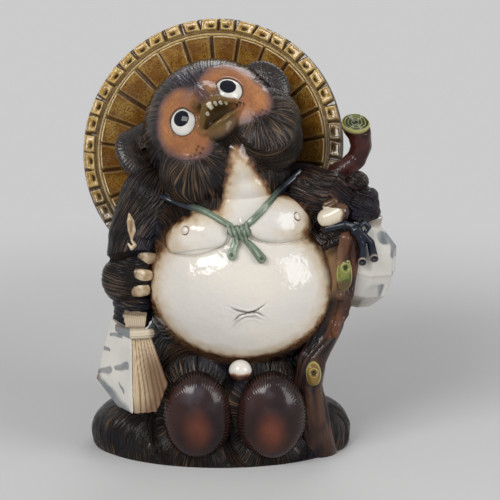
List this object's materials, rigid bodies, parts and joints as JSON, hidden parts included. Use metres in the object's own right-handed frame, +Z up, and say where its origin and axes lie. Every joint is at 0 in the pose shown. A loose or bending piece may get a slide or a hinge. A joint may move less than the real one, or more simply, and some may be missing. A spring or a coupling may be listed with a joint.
{
  "type": "ceramic raccoon-dog statue",
  "caption": "Glazed stoneware raccoon-dog ornament with a big pale belly, a round straw hat behind its head, a ledger, a flask and a tree stump.",
  "frame": {"origin": "on the table the statue stands on, in the middle of its outer box", "axes": "+Z up, the statue faces -Y, +X to the right of someone who looks at its face"},
  "size_m": [0.2977, 0.1852, 0.3993],
  "materials": {
    "fur_glaze": "black-brown glaze over combed fur, glossy, breaking to brown on the ridges",
    "white_glaze": "thick glossy off-white glaze with brown at its edges",
    "crease_glaze": "brown glaze lines on off-white",
    "mask_glaze": "glossy tan-brown glaze with a purple-grey edge",
    "olive_glaze": "olive-brown glaze",
    "cream_glaze": "glossy cream glaze with brown edges",
    "eye_white": "clear gloss over white",
    "eye_black": "clear gloss over black",
    "straw_glaze": "mottled amber glaze, dark in the grooves",
    "rim_glaze": "ochre glaze with pale edges and dark pits",
    "sage_glaze": "sage green glaze with darker edges",
    "paper_glaze": "cream to brown glaze over ribs",
    "pale_glaze": "pale grey-white glaze with plain grey-blue brushwork",
    "dark_cord_glaze": "blue-black gloss glaze",
    "bark_glaze": "dark brown to maroon glaze over bark grooves",
    "green_glaze": "yellow-green glaze with dark rings",
    "bag_glaze": "dark red-brown gloss glaze with combed edges"
  },
  "bodies": {
    "root": {"body_front": "fur_glaze", "body_back": "fur_glaze", "belly_slab": "white_glaze", "throat_slab": "white_glaze", "breasts": "white_glaze", "nipples": "white_glaze", "navel_creases": "crease_glaze", "head": "fur_glaze", "cheek_left": "fur_glaze", "cheek_right": "fur_glaze", "snout": "mask_glaze", "lower_jaw": "mask_glaze", "tongue": "olive_glaze", "upper_teeth": "cream_glaze", "nose": "mask_glaze", "eyes": "eye_white", "pupils": "eye_black", "ear_left": "fur_glaze", "ear_right": "fur_glaze", "hat_cone": "straw_glaze", "hat_panels": "straw_glaze", "hat_rim": "rim_glaze", "rim_pads": "rim_glaze", "neck_cord_left": "sage_glaze", "neck_cord_right": "sage_glaze", "cord_knot": "sage_glaze", "cord_ends": "sage_glaze", "ledger_arm": "fur_glaze", "ledger_paw": "fur_glaze", "ledger_claws": "cream_glaze", "sleeve_slit": "cream_glaze", "ledger_cover": "pale_glaze", "ledger_pages": "paper_glaze", "ledger_band": "paper_glaze", "ledger_top": "paper_glaze", "flask_arm": "fur_glaze", "fist": "fur_glaze", "cord_toggles": "cream_glaze", "flask": "pale_glaze", "flask_cord": "dark_cord_glaze", "tree_trunk": "bark_glaze", "tree_root": "bark_glaze", "bark_strands": "bark_glaze", "branch": "bark_glaze", "branch_slice": "green_glaze", "trunk_knots": "green_glaze", "money_bag_left": "bag_glaze", "money_bag_right": "bag_glaze", "bag_knob": "white_glaze", "foot_left": "fur_glaze", "foot_right": "fur_glaze", "tail": "fur_glaze"}
  },
  "joints": []
}
